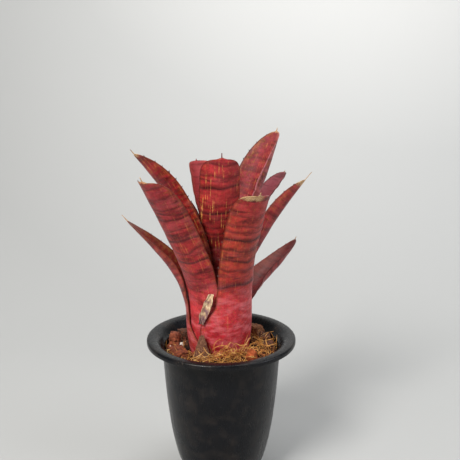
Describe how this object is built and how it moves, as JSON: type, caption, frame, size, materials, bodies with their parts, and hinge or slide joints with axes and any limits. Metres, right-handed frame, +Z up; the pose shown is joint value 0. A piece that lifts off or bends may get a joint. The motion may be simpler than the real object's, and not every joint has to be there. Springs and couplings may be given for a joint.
{
  "type": "potted bromeliad",
  "caption": "Small potted bromeliad: a banded red rosette of nested channelled leaves standing in chunky bark mix in a round flared nursery pot.",
  "frame": {"origin": "middle of the underside of the pot, on the surface the pot stands on", "axes": "+Z up along the pot; -Y towards the front, the side with the broad front leaves; +X to the right seen from the front"},
  "size_m": [0.1002, 0.0928, 0.1902],
  "materials": {
    "pot_plastic": "matte black",
    "growing_mix": "coarse damp bark and husk mix",
    "stem_tissue": "fibrous",
    "leaf_tissue": "satin, cross-banded",
    "dry_sheath": "dry, papery",
    "bark_chips": "rough bark",
    "clay_nugget": "rough fired clay",
    "perlite": "rough white",
    "husk_fibre": "loose fibre"
  },
  "bodies": {
    "root": {"pot": "pot_plastic", "growing_mix": "growing_mix", "stem": "stem_tissue", "leaf_front_right": "leaf_tissue", "leaf_low_left": "leaf_tissue", "leaf_front_left": "leaf_tissue", "leaf_low_right": "leaf_tissue", "leaf_low_back": "leaf_tissue", "leaf_back_right": "leaf_tissue", "leaf_right": "leaf_tissue", "leaf_upper_left": "leaf_tissue", "leaf_back_left": "leaf_tissue", "leaf_upper_right": "leaf_tissue", "leaf_centre": "leaf_tissue", "leaf_inner_left": "leaf_tissue", "dry_sheath_scrap": "dry_sheath", "bark_shard_front": "bark_chips", "bark_chunk_front_left": "bark_chips", "bark_chunk_left": "bark_chips", "bark_chunk_back_left": "bark_chips", "bark_chip_back_left": "bark_chips", "bark_chunk_back": "bark_chips", "bark_chip_back": "bark_chips", "husk_chip_back_right": "bark_chips", "bark_chunk_right": "bark_chips", "bark_chunk_front_right": "bark_chips", "clay_nugget_front": "clay_nugget", "perlite_grain_left": "perlite", "perlite_grain_back": "perlite", "fibre_tangle_front": "husk_fibre", "fibre_tangle_right": "husk_fibre", "fibre_tangle_left": "husk_fibre"}
  },
  "joints": []
}
